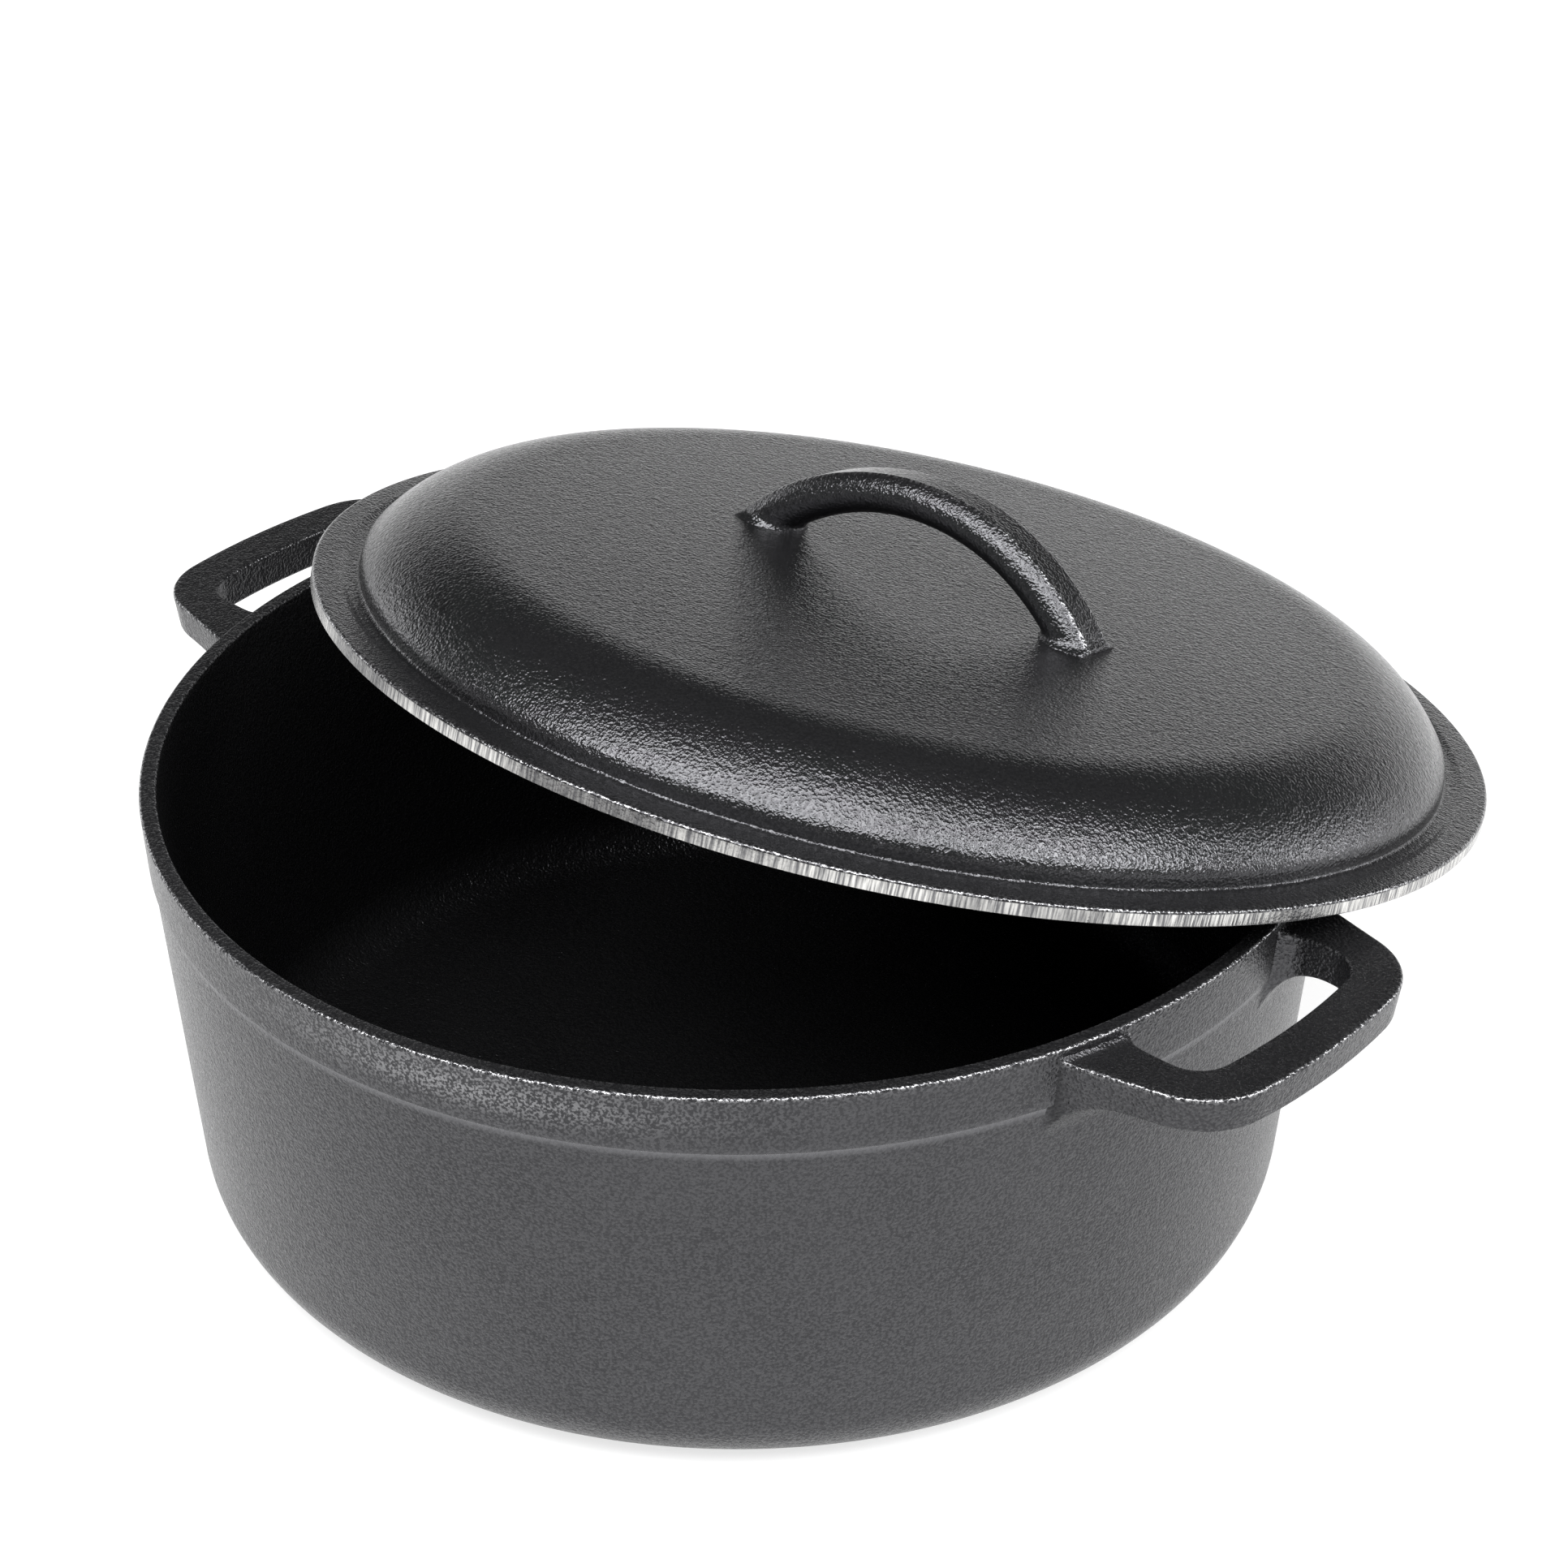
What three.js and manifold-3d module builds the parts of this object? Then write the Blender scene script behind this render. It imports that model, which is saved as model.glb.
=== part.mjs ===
// Cast iron dutch oven: a round pot with two loop handles, and its domed lid with one arched handle.
// Millimetres, +Z up. The origin is the centre of the pot's flat base, and the loop handles lie along X.
// The lid lies ajar: shifted towards +Y and tilted, so that its dome hangs over the far side of the rim.

import * as THREE from "three";
import { mergeVertices } from "three/addons/utils/BufferGeometryUtils.js";
import Module from "manifold-3d";

const wasm = await Module();
wasm.setup();

const DEG = Math.PI / 180;
const QUARTER_TURN = 90 * DEG;

// ---- Pot: rim, rim band, drafted wall, rounded base edge ----
const RIM_RADIUS = 152;
const POT_HEIGHT = 118.6;
const POT_WALL = 4.4;
const POT_FLOOR = 5.5;
const RIM_EDGE = 0.8; // small rounding on both edges of the flat rim
const BAND_DEPTH = 15.7; // the thicker band below the rim ends here
const BAND_RADIUS = 151; // outer radius at the lower edge of the band
const BAND_STEP = 0.7; // how far the wall sets in below the band
const WALL_DRAFT = 4.8 * DEG; // the wall leans in towards the base
const BASE_EDGE_RADIUS = 18.2;

// ---- Loop handles: flat bars with a finger slot, level on top, just below the rim ----
const HANDLE_DROP = 3.3; // from the rim plane down to the handle's top face
const HANDLE_REACH = 186.5; // radius of the bar's outer face
const BAR_WIDTH = 12.6;
const BAR_THICKNESS = 10;
const BAR_DRAFT = 1.2; // how far the outer face leans in over its height
const HANDLE_HALF_WIDTH = 47; // measured across the root, inside the wall
const HANDLE_TAPER = 13 * DEG; // each side closes in going outwards
const HANDLE_CORNER = 21;
const SLOT_HALF_WIDTH = 31.3;
const SLOT_CORNER = 9.5;
const GUSSET_DEPTH = 23; // the root deepens to this below the top face
const GUSSET_LENGTH = 13; // and has faded out this far from the wall
const ROOT_RADIUS = 148.6; // inside the wall's thickness, so the handle joins it
const OUTLINE_START = 135; // the handle outlines begin well inside the wall

// ---- Lid: flange, groove, dome with a rounded shoulder and an almost flat crown ----
const LID_RADIUS = 155;
const FLANGE_THICKNESS = 4;
const FLANGE_EDGE = 0.9; // rounding on the flange's top edge
const GROOVE_DEPTH = 0.5;
const GROOVE_WIDTH = 3;
const FOOT_FILLET = 1.6; // where the dome rises out of the groove
const CROWN_HEIGHT = 25.4; // above the flange's underside
const CROWN_SAG = 0.5; // how much lower the crown's edge is than its middle
const SHOULDER_RADIUS = 37.7;
const SHOULDER_CENTRE_RADIUS = 111.6;
const SHOULDER_END = 36.3 * DEG; // the large shoulder arc ends at this steepness
const SKIRT_RADIUS = 6; // a tighter arc turns the shoulder down to upright
const LID_WALL = 4.6;
const RING_OUTER_RADIUS = 146.4; // the locating ring drops inside the rim
const RING_INNER_RADIUS = 141;
const RING_DEPTH = 2;

// ---- Lid handle: an arch over the crown, flat on its outer face and rounded below ----
const ARCH_OUTER_RADIUS = 72.4;
const ARCH_INNER_RADIUS = 61.3;
const ARCH_CENTRE_DROP = 21; // the arch's centre lies this far below the flange's underside
const ARCH_FLAT_HALF = 4.6;
const ARCH_HALF_WIDTH = 8;
const ARCH_FOOT_DEPTH = 2.4; // how deep the arch's feet run into the crown
const ARCH_SPAN = 160; // a block this long and this broad keeps only the part above the crown
const ARCH_BREADTH = 24;

// ---- Where the lid lies ----
const LID_SHIFT = 52.4;
const LID_SHIFT_AZIMUTH = 79.3 * DEG;
const LID_RAISE = 6.1; // centre of the flange's underside, above the rim plane
const LID_TILT = 14.75 * DEG;
const LID_LEAN_AZIMUTH = 83.7 * DEG; // the crown faces this way
const LID_SPIN = 5.6 * DEG; // the arch is nearly in line with the loop handles

// ---- Fineness ----
const TURN_SEGMENTS = 72;
const FINE_ARC = 6;
const COARSE_ARC = 9;
const OUTLINE_SEGMENTS = 5;

// Points of an arc in a profile, with 0 degrees pointing outwards and 90 degrees up.
function arc(centreX, centreY, radius, start, end, segments) {
  const points = [];
  for (let i = 0; i <= segments; i += 1) {
    const angle = start + ((end - start) * i) / segments;
    points.push(new THREE.Vector2(centreX + radius * Math.cos(angle), centreY + radius * Math.sin(angle)));
  }
  return points;
}

function point(x, y) {
  return new THREE.Vector2(x, y);
}

// A closed solid from a three.js geometry: shared corners merged, slivers of no area dropped.
function solidFrom(geometry) {
  const bare = geometry.clone();
  bare.deleteAttribute("normal");
  bare.deleteAttribute("uv");
  const merged = mergeVertices(bare, 1e-4);
  const corners = merged.index.array;
  const kept = [];
  for (let i = 0; i < corners.length; i += 3) {
    const [a, b, c] = [corners[i], corners[i + 1], corners[i + 2]];
    if (a !== b && b !== c && c !== a) {
      kept.push(a, b, c);
    }
  }
  const vertProperties = new Float32Array(merged.attributes.position.array);
  const triVerts = new Uint32Array(kept);
  return new wasm.Manifold(new wasm.Mesh({ numProp: 3, vertProperties, triVerts }));
}

// A solid turned about Z from a profile of (radius, height) points, listed with the metal on the left.
function turned(profile) {
  const geometry = new THREE.LatheGeometry(profile, TURN_SEGMENTS);
  geometry.rotateX(QUARTER_TURN);
  return solidFrom(geometry);
}

// An upright prism of a plan outline, from z = low to z = high.
function prism(outline, low, high) {
  const options = { depth: high - low, bevelEnabled: false, curveSegments: OUTLINE_SEGMENTS };
  const geometry = new THREE.ExtrudeGeometry(outline, options);
  geometry.translate(0, 0, low);
  return solidFrom(geometry);
}

function block(sizeX, sizeY, low, high) {
  const geometry = new THREE.BoxGeometry(sizeX, sizeY, high - low);
  geometry.translate(0, 0, (low + high) / 2);
  return solidFrom(geometry);
}

// The pot's revolved body: up the outside, over the rim, down the inside and back to the axis.
function potBody() {
  const bandBottom = POT_HEIGHT - BAND_DEPTH;
  const wallTop = point(BAND_RADIUS - BAND_STEP, bandBottom - BAND_STEP);
  const slope = Math.tan(WALL_DRAFT);
  const outward = point(Math.cos(WALL_DRAFT), -Math.sin(WALL_DRAFT));
  const edgeCentreZ = BASE_EDGE_RADIUS;
  const edgeEndZ = edgeCentreZ + BASE_EDGE_RADIUS * outward.y;
  const edgeEndX = wallTop.x - (wallTop.y - edgeEndZ) * slope;
  const edgeCentreX = edgeEndX - BASE_EDGE_RADIUS * outward.x;

  const innerEdgeRadius = BASE_EDGE_RADIUS - POT_WALL;
  const innerCentreZ = POT_FLOOR + innerEdgeRadius;
  const innerEndZ = innerCentreZ + innerEdgeRadius * outward.y;
  const innerTop = point(RIM_RADIUS - POT_WALL, POT_HEIGHT);
  const innerBend = point(wallTop.x - POT_WALL, wallTop.y);
  const innerEndX = innerBend.x - (innerBend.y - innerEndZ) * slope;
  const innerCentreX = innerEndX - innerEdgeRadius * outward.x;

  return turned([
    point(0, 0),
    ...arc(edgeCentreX, edgeCentreZ, BASE_EDGE_RADIUS, -QUARTER_TURN, -WALL_DRAFT, COARSE_ARC),
    wallTop,
    point(BAND_RADIUS, bandBottom),
    ...arc(RIM_RADIUS - RIM_EDGE, POT_HEIGHT - RIM_EDGE, RIM_EDGE, 0, QUARTER_TURN, 2),
    ...arc(innerTop.x + RIM_EDGE, POT_HEIGHT - RIM_EDGE, RIM_EDGE, QUARTER_TURN, 2 * QUARTER_TURN, 2),
    innerBend,
    ...arc(innerCentreX, innerCentreZ, innerEdgeRadius, -WALL_DRAFT, -QUARTER_TURN, COARSE_ARC),
    point(0, POT_FLOOR),
  ]);
}

// Plan outline of a loop or of its slot: straight sides from inside the pot, then a rounded corner on
// each side that runs into an outer arc about the pot's axis.
function loopOutline(outerRadius, halfWidth, taper, corner) {
  const along = point(Math.cos(taper), -Math.sin(taper));
  const inward = point(-Math.sin(taper), -Math.cos(taper));
  const start = point(OUTLINE_START, halfWidth + (ROOT_RADIUS - OUTLINE_START) * Math.tan(taper));
  const offset = start.clone().addScaledVector(inward, corner);
  const reach = outerRadius - corner;
  const shadow = offset.dot(along);
  const run = -shadow + Math.sqrt(shadow * shadow - offset.lengthSq() + reach * reach);
  const centre = offset.clone().addScaledVector(along, run);
  const cornerStart = centre.clone().addScaledVector(inward, -corner);
  const sideAngle = QUARTER_TURN - taper;
  const arcAngle = centre.angle();

  const outline = new THREE.Shape();
  outline.moveTo(start.x, -start.y);
  outline.lineTo(cornerStart.x, -cornerStart.y);
  outline.absarc(centre.x, -centre.y, corner, -sideAngle, -arcAngle, false);
  outline.absarc(0, 0, outerRadius, -arcAngle, arcAngle, false);
  outline.absarc(centre.x, centre.y, corner, arcAngle, sideAngle, false);
  outline.lineTo(start.x, start.y);
  outline.closePath();
  return outline;
}

// One loop handle, on the +X side. A turned ring gives its top, drafted outer face, underside and
// gusset curve; the plan outlines give its sides and its finger slot.
function loopHandle() {
  const top = POT_HEIGHT - HANDLE_DROP;
  const under = top - BAR_THICKNESS;
  const foot = top - GUSSET_DEPTH;
  const gussetStart = RIM_RADIUS + GUSSET_LENGTH;
  const wallAtFoot = BAND_RADIUS - BAND_STEP - (POT_HEIGHT - BAND_DEPTH - foot) * Math.tan(WALL_DRAFT);
  const gusset = [];
  for (let i = 0; i <= FINE_ARC; i += 1) {
    const angle = (QUARTER_TURN * i) / FINE_ARC;
    const x = gussetStart + (wallAtFoot - gussetStart) * Math.cos(angle);
    const y = foot + (under - foot) * Math.sin(angle);
    gusset.push(point(x, y));
  }
  const ring = turned([
    point(ROOT_RADIUS, foot),
    ...gusset,
    point(HANDLE_REACH - BAR_DRAFT, under),
    point(HANDLE_REACH, top),
    point(ROOT_RADIUS, top),
    point(ROOT_RADIUS, foot),
  ]);
  const clearance = 1;
  const plan = loopOutline(HANDLE_REACH + clearance, HANDLE_HALF_WIDTH, HANDLE_TAPER, HANDLE_CORNER);
  const slot = loopOutline(HANDLE_REACH - BAR_WIDTH, SLOT_HALF_WIDTH, 0, SLOT_CORNER);
  const low = foot - clearance;
  const high = top + clearance;
  return ring.intersect(prism(plan, low, high)).subtract(prism(slot, low, high));
}

// The lid's revolved shell, with z = 0 at the flange's underside.
function lidShell() {
  const crownBase = CROWN_HEIGHT - CROWN_SAG;
  const shoulderCentreZ = crownBase - SHOULDER_RADIUS;
  const bend = point(
    SHOULDER_CENTRE_RADIUS + SHOULDER_RADIUS * Math.cos(SHOULDER_END),
    shoulderCentreZ + SHOULDER_RADIUS * Math.sin(SHOULDER_END),
  );
  const skirtX = bend.x - SKIRT_RADIUS * Math.cos(SHOULDER_END);
  const skirtZ = bend.y - SKIRT_RADIUS * Math.sin(SHOULDER_END);
  const footX = skirtX + SKIRT_RADIUS;
  const grooveZ = FLANGE_THICKNESS - GROOVE_DEPTH;
  const grooveEnd = footX + FOOT_FILLET + GROOVE_WIDTH;
  const innerShoulder = SHOULDER_RADIUS - LID_WALL;
  const innerEnd = Math.acos((RING_INNER_RADIUS - SHOULDER_CENTRE_RADIUS) / innerShoulder);

  return turned([
    point(0, CROWN_HEIGHT - LID_WALL),
    ...arc(SHOULDER_CENTRE_RADIUS, shoulderCentreZ, innerShoulder, QUARTER_TURN, innerEnd, COARSE_ARC),
    point(RING_INNER_RADIUS, -RING_DEPTH),
    point(RING_OUTER_RADIUS, -RING_DEPTH),
    point(RING_OUTER_RADIUS, 0),
    point(LID_RADIUS, 0),
    ...arc(LID_RADIUS - FLANGE_EDGE, FLANGE_THICKNESS - FLANGE_EDGE, FLANGE_EDGE, 0, QUARTER_TURN, 2),
    point(grooveEnd, FLANGE_THICKNESS),
    point(grooveEnd - GROOVE_WIDTH / 2, grooveZ),
    ...arc(footX + FOOT_FILLET, grooveZ + FOOT_FILLET, FOOT_FILLET, -QUARTER_TURN, -2 * QUARTER_TURN, 2),
    ...arc(skirtX, skirtZ, SKIRT_RADIUS, 0, SHOULDER_END, 2),
    ...arc(SHOULDER_CENTRE_RADIUS, shoulderCentreZ, SHOULDER_RADIUS, SHOULDER_END, QUARTER_TURN, COARSE_ARC),
    point(0, CROWN_HEIGHT),
  ]);
}

// The lid's arched handle: a D-shaped section turned about a crosswise axis, cut off inside the crown.
function lidArch() {
  const middle = (ARCH_OUTER_RADIUS + ARCH_INNER_RADIUS) / 2;
  const halfDepth = (ARCH_OUTER_RADIUS - ARCH_INNER_RADIUS) / 2;
  const section = [point(ARCH_OUTER_RADIUS, -ARCH_FLAT_HALF), point(ARCH_OUTER_RADIUS, ARCH_FLAT_HALF)];
  for (let i = 0; i <= COARSE_ARC; i += 1) {
    const angle = (2 * QUARTER_TURN * i) / COARSE_ARC;
    section.push(point(middle - halfDepth * Math.sin(angle), ARCH_HALF_WIDTH * Math.cos(angle)));
  }
  section.push(section[0].clone());
  const hoop = turned(section).rotate([90, 0, 0]).translate([0, 0, -ARCH_CENTRE_DROP]);
  const cut = CROWN_HEIGHT - ARCH_FOOT_DEPTH;
  const keep = block(ARCH_SPAN, ARCH_BREADTH, cut, ARCH_OUTER_RADIUS);
  return hoop.intersect(keep);
}

// A named mesh from a solid, shaded flat so that the rim and ground edges stay crisp.
function meshOf(name, solid, material) {
  const mesh = solid.getMesh();
  const geometry = new THREE.BufferGeometry();
  geometry.setAttribute("position", new THREE.BufferAttribute(mesh.vertProperties, mesh.numProp));
  geometry.setIndex(new THREE.BufferAttribute(mesh.triVerts, 1));
  const flat = geometry.toNonIndexed();
  flat.computeVertexNormals();
  const part = new THREE.Mesh(flat, material);
  part.name = name;
  return part;
}

function castIron(colour, roughness) {
  return new THREE.MeshStandardMaterial({ color: colour, roughness, metalness: 0.35 });
}

function buildPot() {
  const handle = loopHandle();
  const solid = potBody().add(handle).add(handle.rotate([0, 0, 180]));
  return meshOf("pot", solid, castIron(0x2b2c2e, 0.5));
}

function buildLid() {
  const lid = meshOf("lid", lidShell().add(lidArch()), castIron(0x28292b, 0.42));
  const leanAxis = new THREE.Vector3(-Math.sin(LID_LEAN_AZIMUTH), Math.cos(LID_LEAN_AZIMUTH), 0);
  const upright = new THREE.Vector3(0, 0, 1);
  lid.quaternion.setFromAxisAngle(leanAxis, LID_TILT);
  lid.quaternion.multiply(new THREE.Quaternion().setFromAxisAngle(upright, LID_SPIN));
  lid.position.set(
    LID_SHIFT * Math.cos(LID_SHIFT_AZIMUTH),
    LID_SHIFT * Math.sin(LID_SHIFT_AZIMUTH),
    POT_HEIGHT + LID_RAISE,
  );
  return lid;
}

const dutchOven = new THREE.Group();
dutchOven.name = "cast_iron_dutch_oven";
dutchOven.add(buildPot());
dutchOven.add(buildLid());

export default dutchOven;
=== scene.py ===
# %% [markdown]
# # Cast iron dutch oven
#
# The object is two castings: a round pot with two loop handles, and a domed lid with one arched handle.
# Both come out of a sand mould, are ground along the lid's edge, and are then oiled and baked, which turns
# the skin black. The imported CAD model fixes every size. Here the same shapes are worked out again as fine
# smooth surfaces with rounded edges, and get the look of seasoned iron.

import bmesh
import bpy
import numpy as np
from mathutils import Matrix, Vector


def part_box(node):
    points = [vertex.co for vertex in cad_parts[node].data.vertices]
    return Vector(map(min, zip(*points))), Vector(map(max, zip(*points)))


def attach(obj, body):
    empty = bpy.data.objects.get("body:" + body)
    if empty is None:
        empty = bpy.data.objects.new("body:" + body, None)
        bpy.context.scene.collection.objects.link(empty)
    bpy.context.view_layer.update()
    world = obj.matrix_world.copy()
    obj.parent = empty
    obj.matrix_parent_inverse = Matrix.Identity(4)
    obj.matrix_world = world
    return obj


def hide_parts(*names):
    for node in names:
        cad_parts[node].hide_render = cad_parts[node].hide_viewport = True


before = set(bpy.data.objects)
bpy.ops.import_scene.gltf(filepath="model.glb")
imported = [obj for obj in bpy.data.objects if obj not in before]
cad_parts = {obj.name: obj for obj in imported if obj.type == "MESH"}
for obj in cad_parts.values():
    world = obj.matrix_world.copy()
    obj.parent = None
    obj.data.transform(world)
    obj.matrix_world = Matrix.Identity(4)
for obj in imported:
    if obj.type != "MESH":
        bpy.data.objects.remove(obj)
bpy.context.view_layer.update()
MM = 0.001
pot_low, pot_high = [np.array(corner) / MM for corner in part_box("pot")]
lid_low, lid_high = [np.array(corner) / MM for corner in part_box("lid")]
print("pot from", pot_low.round(2), "to", pot_high.round(2), "mm")
print("lid from", lid_low.round(2), "to", lid_high.round(2), "mm")

# %% [markdown]
# ## From a grid of points to a closed mesh
#
# Every piece of iron here is a closed skin, and each one can be described in the same way: a row of points
# once round the piece, and many such rows one after the other. The first and last rows shrink to a point,
# which closes the ends. A lathe-turned bowl fits this, and so does a bar carried along a bend. Modelling
# with primitives and modifiers would also work, but a grid keeps every edge radius exact.

# %% Mesh from rows


def closed_skin(name, rows, marks):
    """A mesh from an array of rows of points in millimetres, shaped (rows, columns, 3).

    Neighbouring points of neighbouring rows make a four-sided face, and the last column joins the first.
    The first and last rows each become one point, with a fan of triangles round it.
    marks holds number patterns of the same shape as the grid, which the materials read by name.
    """
    count, columns = rows.shape[:2]

    def gathered(grid):
        return np.concatenate([grid[:1, 0], grid[1:-1].reshape(-1, *grid.shape[2:]), grid[-1:, 0]])

    points = gathered(rows) * MM
    index = 1 + np.arange((count - 2) * columns).reshape(count - 2, columns)
    ahead = np.roll(index, -1, axis=1)
    quads = np.stack([index[:-1], ahead[:-1], ahead[1:], index[1:]], axis=-1).reshape(-1, 4)
    last = len(points) - 1
    first_fan = np.stack([np.zeros(columns, int), ahead[0], index[0]], axis=-1)
    last_fan = np.stack([np.full(columns, last), index[-1], ahead[-1]], axis=-1)

    mesh = bpy.data.meshes.new(name)
    mesh.from_pydata(points.tolist(), [], quads.tolist() + first_fan.tolist() + last_fan.tolist())
    solid = bmesh.new()
    solid.from_mesh(mesh)
    litres = solid.calc_volume(signed=True) / 0.001
    solid.free()
    if litres < 0:
        mesh.flip_normals()
    mesh.polygons.foreach_set("use_smooth", np.ones(len(mesh.polygons), bool))
    for mark, grid in marks.items():
        attribute = mesh.attributes.new(mark, "FLOAT", "POINT")
        attribute.data.foreach_set("value", gathered(grid).astype(np.float32))
    mesh.update()
    piece = bpy.data.objects.new(name, mesh)
    bpy.context.scene.collection.objects.link(piece)
    print(f"{name}: {len(mesh.polygons)} faces, {abs(litres):.4f} litres of iron")
    return piece


# %% [markdown]
# ## Profiles with rounded corners
#
# A pattern maker draws a casting's section with straight lines and then rounds every corner, because sharp
# corners crack as the iron cools. The same is done here: a short list of corners, each with its own radius.

# %% Rounded outline


def arc(centre, radius, start, end, steps):
    """Points on a circle: centre plus radius times (cosine, sine) of an angle that goes evenly in degrees."""
    angle = np.radians(np.linspace(start, end, steps + 1))
    return np.array(centre) + radius * np.stack([np.cos(angle), np.sin(angle)], axis=-1)


def rounded(corners, steps=8):
    """An open outline through corners given as (x, y, radius), with each one replaced by an arc.

    The outline turns by some angle at a corner. The arc touches both sides at the radius times the tangent
    of half that angle away from the corner, and its centre lies one radius off the side, inside the turn.
    """
    corners = np.array(corners, float)
    points = [corners[:1, :2]]
    for before, here, after in zip(corners[:-2], corners[1:-1], corners[2:]):
        arrive = (here - before)[:2] / np.linalg.norm((here - before)[:2])
        leave = (after - here)[:2] / np.linalg.norm((after - here)[:2])
        turn = np.arctan2(arrive[0] * leave[1] - arrive[1] * leave[0], arrive @ leave)
        touch = here[:2] - here[2] * np.tan(abs(turn) / 2) * arrive
        side = np.sign(turn) * np.array([-arrive[1], arrive[0]])
        spoke = -here[2] * side
        angle = np.linspace(0, turn, steps + 1)[:, None]
        across = np.array([-spoke[1], spoke[0]])
        points.append(touch + here[2] * side + np.cos(angle) * spoke + np.sin(angle) * across)
    points.append(corners[-1:, :2])
    return np.concatenate(points)


def spaced(outline, gap):
    """The outline with more points put in, so that no two neighbours are further apart than gap."""
    step = np.linalg.norm(np.diff(outline, axis=0), axis=1)
    outline = outline[np.concatenate([[True], step > 1e-6])]
    step = np.linalg.norm(np.diff(outline, axis=0), axis=1)
    parts = np.maximum(1, np.ceil(step / gap)).astype(int)
    place = np.concatenate([np.arange(n) / n + i for i, n in enumerate(parts)] + [[len(parts)]])
    known = np.arange(len(outline))
    return np.stack([np.interp(place, known, outline[:, k]) for k in (0, 1)], axis=-1)


def turned(outline, columns):
    """Rows of points round the Z axis: (r cos a, r sin a, z) for each (r, z) of the outline."""
    angle = np.linspace(0, 2 * np.pi, columns, endpoint=False)
    r, z = outline[:, :1], outline[:, 1:]
    return np.stack([r * np.cos(angle), r * np.sin(angle), z + 0 * angle], axis=-1)


# %% [markdown]
# ## The pot
#
# The pot's wall is thin and leans in towards the base, so that the pattern can be drawn out of the sand. A
# thicker band runs round under the rim and ends in a small step. The rim is flat on top, because the lid
# seats on it. A turned profile gives all of this in one go. The rim's height and radius come from the CAD box.
#
# Two number patterns go with the skin. "wear" is high along the rim's corners, where the lid rubs, and in a
# faint patch on the band at the front left, which is a painted highlight in the worn grey. "smooth" is high on
# the step, where the pattern maker's tool left a clean line, and there it also paints a lighter grey line: a
# painted highlight. The number of columns keeps the piece under 200,000 triangles, and at 300 the flats
# between columns are only 8 thousandths of a millimetre deep.

# %% Pot sizes
RIM_Z = pot_high[2]
RIM_RADIUS = pot_high[1]
WALL = 4.4
FLOOR = 5.5
RIM_EDGE = 0.8
BAND_DEPTH = 15.7
BAND_RADIUS = 151.0
BAND_STEP = 0.7
DRAFT = np.tan(np.radians(4.8))
BASE_EDGE = 18.2
STEP_Z = RIM_Z - BAND_DEPTH
WALL_TOP = np.array([BAND_RADIUS - BAND_STEP, STEP_Z - BAND_STEP])


def wall_radius(z):
    """Outer radius of the pot at height z: straight along the band, then straight along the drafted wall."""
    band = BAND_RADIUS + (RIM_RADIUS - BAND_RADIUS) * (z - STEP_Z) / BAND_DEPTH
    wall = WALL_TOP[0] - (WALL_TOP[1] - z) * DRAFT
    return np.where(z > STEP_Z, band, wall)


print("wall radius at the base plane", wall_radius(0.0).round(2), "mm")

# %% Pot body
POT_COLUMNS = 300
STEP_TOP_FILLET = 0.5
STEP_FILLET = 0.4
INNER_BEND = 30
WEAR_WIDTH = 0.5  # how far wear reaches from an edge
INNER_RIM_WEAR = 0.7
STEP_LINE_WIDTH = 0.6
# A patch on the band at the front left is painted in the worn grey: a painted highlight, not wear.
HIGHLIGHT_PATCH_BEARING = np.radians(-72)
HIGHLIGHT_PATCH_SPREAD = 0.3  # radians round the band
HIGHLIGHT_PATCH_DROP = 6.0  # below the rim
HIGHLIGHT_PATCH_HEIGHT = 5.0
HIGHLIGHT_PATCH_STRENGTH = 0.3
pot_outline = rounded(
    [
        (0, 0, 0),
        (wall_radius(0.0), 0, BASE_EDGE),
        (*WALL_TOP, STEP_TOP_FILLET),
        (BAND_RADIUS, STEP_Z, STEP_FILLET),
        (RIM_RADIUS, RIM_Z, RIM_EDGE),
        (RIM_RADIUS - WALL, RIM_Z, RIM_EDGE),
        (WALL_TOP[0] - WALL, WALL_TOP[1], INNER_BEND),
        (wall_radius(FLOOR) - WALL, FLOOR, BASE_EDGE - WALL),
        (0, FLOOR, 0),
    ],
    steps=12,
)
pot_outline = spaced(pot_outline, 2.0)
pot_rows = turned(pot_outline, POT_COLUMNS)


def bump(value, centre, width):
    """A smooth hump: 1 at centre, falling to 0 like a bell curve."""
    return np.exp(-(((value - centre) / width) ** 2))


pot_r, pot_z = pot_outline[:, 0], pot_outline[:, 1]
outside = pot_r > wall_radius(pot_z) - 2
outer_corner = bump(pot_r, RIM_RADIUS, WEAR_WIDTH)
inner_corner = INNER_RIM_WEAR * bump(pot_r, RIM_RADIUS - WALL, WEAR_WIDTH)
rim_corner = bump(pot_z, RIM_Z, WEAR_WIDTH) * (outer_corner + inner_corner)
bearing = np.linspace(0, 2 * np.pi, POT_COLUMNS, endpoint=False)
# The rim's corners carry real wear; the patch on the band adds a painted highlight to the same mark.
highlight_patch_heights = outside * bump(pot_z, RIM_Z - HIGHLIGHT_PATCH_DROP, HIGHLIGHT_PATCH_HEIGHT)
highlight_patch_bearings = HIGHLIGHT_PATCH_STRENGTH * bump(bearing - 2 * np.pi, HIGHLIGHT_PATCH_BEARING, HIGHLIGHT_PATCH_SPREAD)
pot_wear_and_highlight = rim_corner[:, None] + highlight_patch_heights[:, None] * highlight_patch_bearings
# The step's mark turns off the grain bump there, and also paints a lighter grey line: a painted highlight.
step_line = outside * bump(pot_z, STEP_Z - BAND_STEP, STEP_LINE_WIDTH)
pot_smooth_and_highlight = step_line[:, None] * np.ones(POT_COLUMNS)
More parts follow.
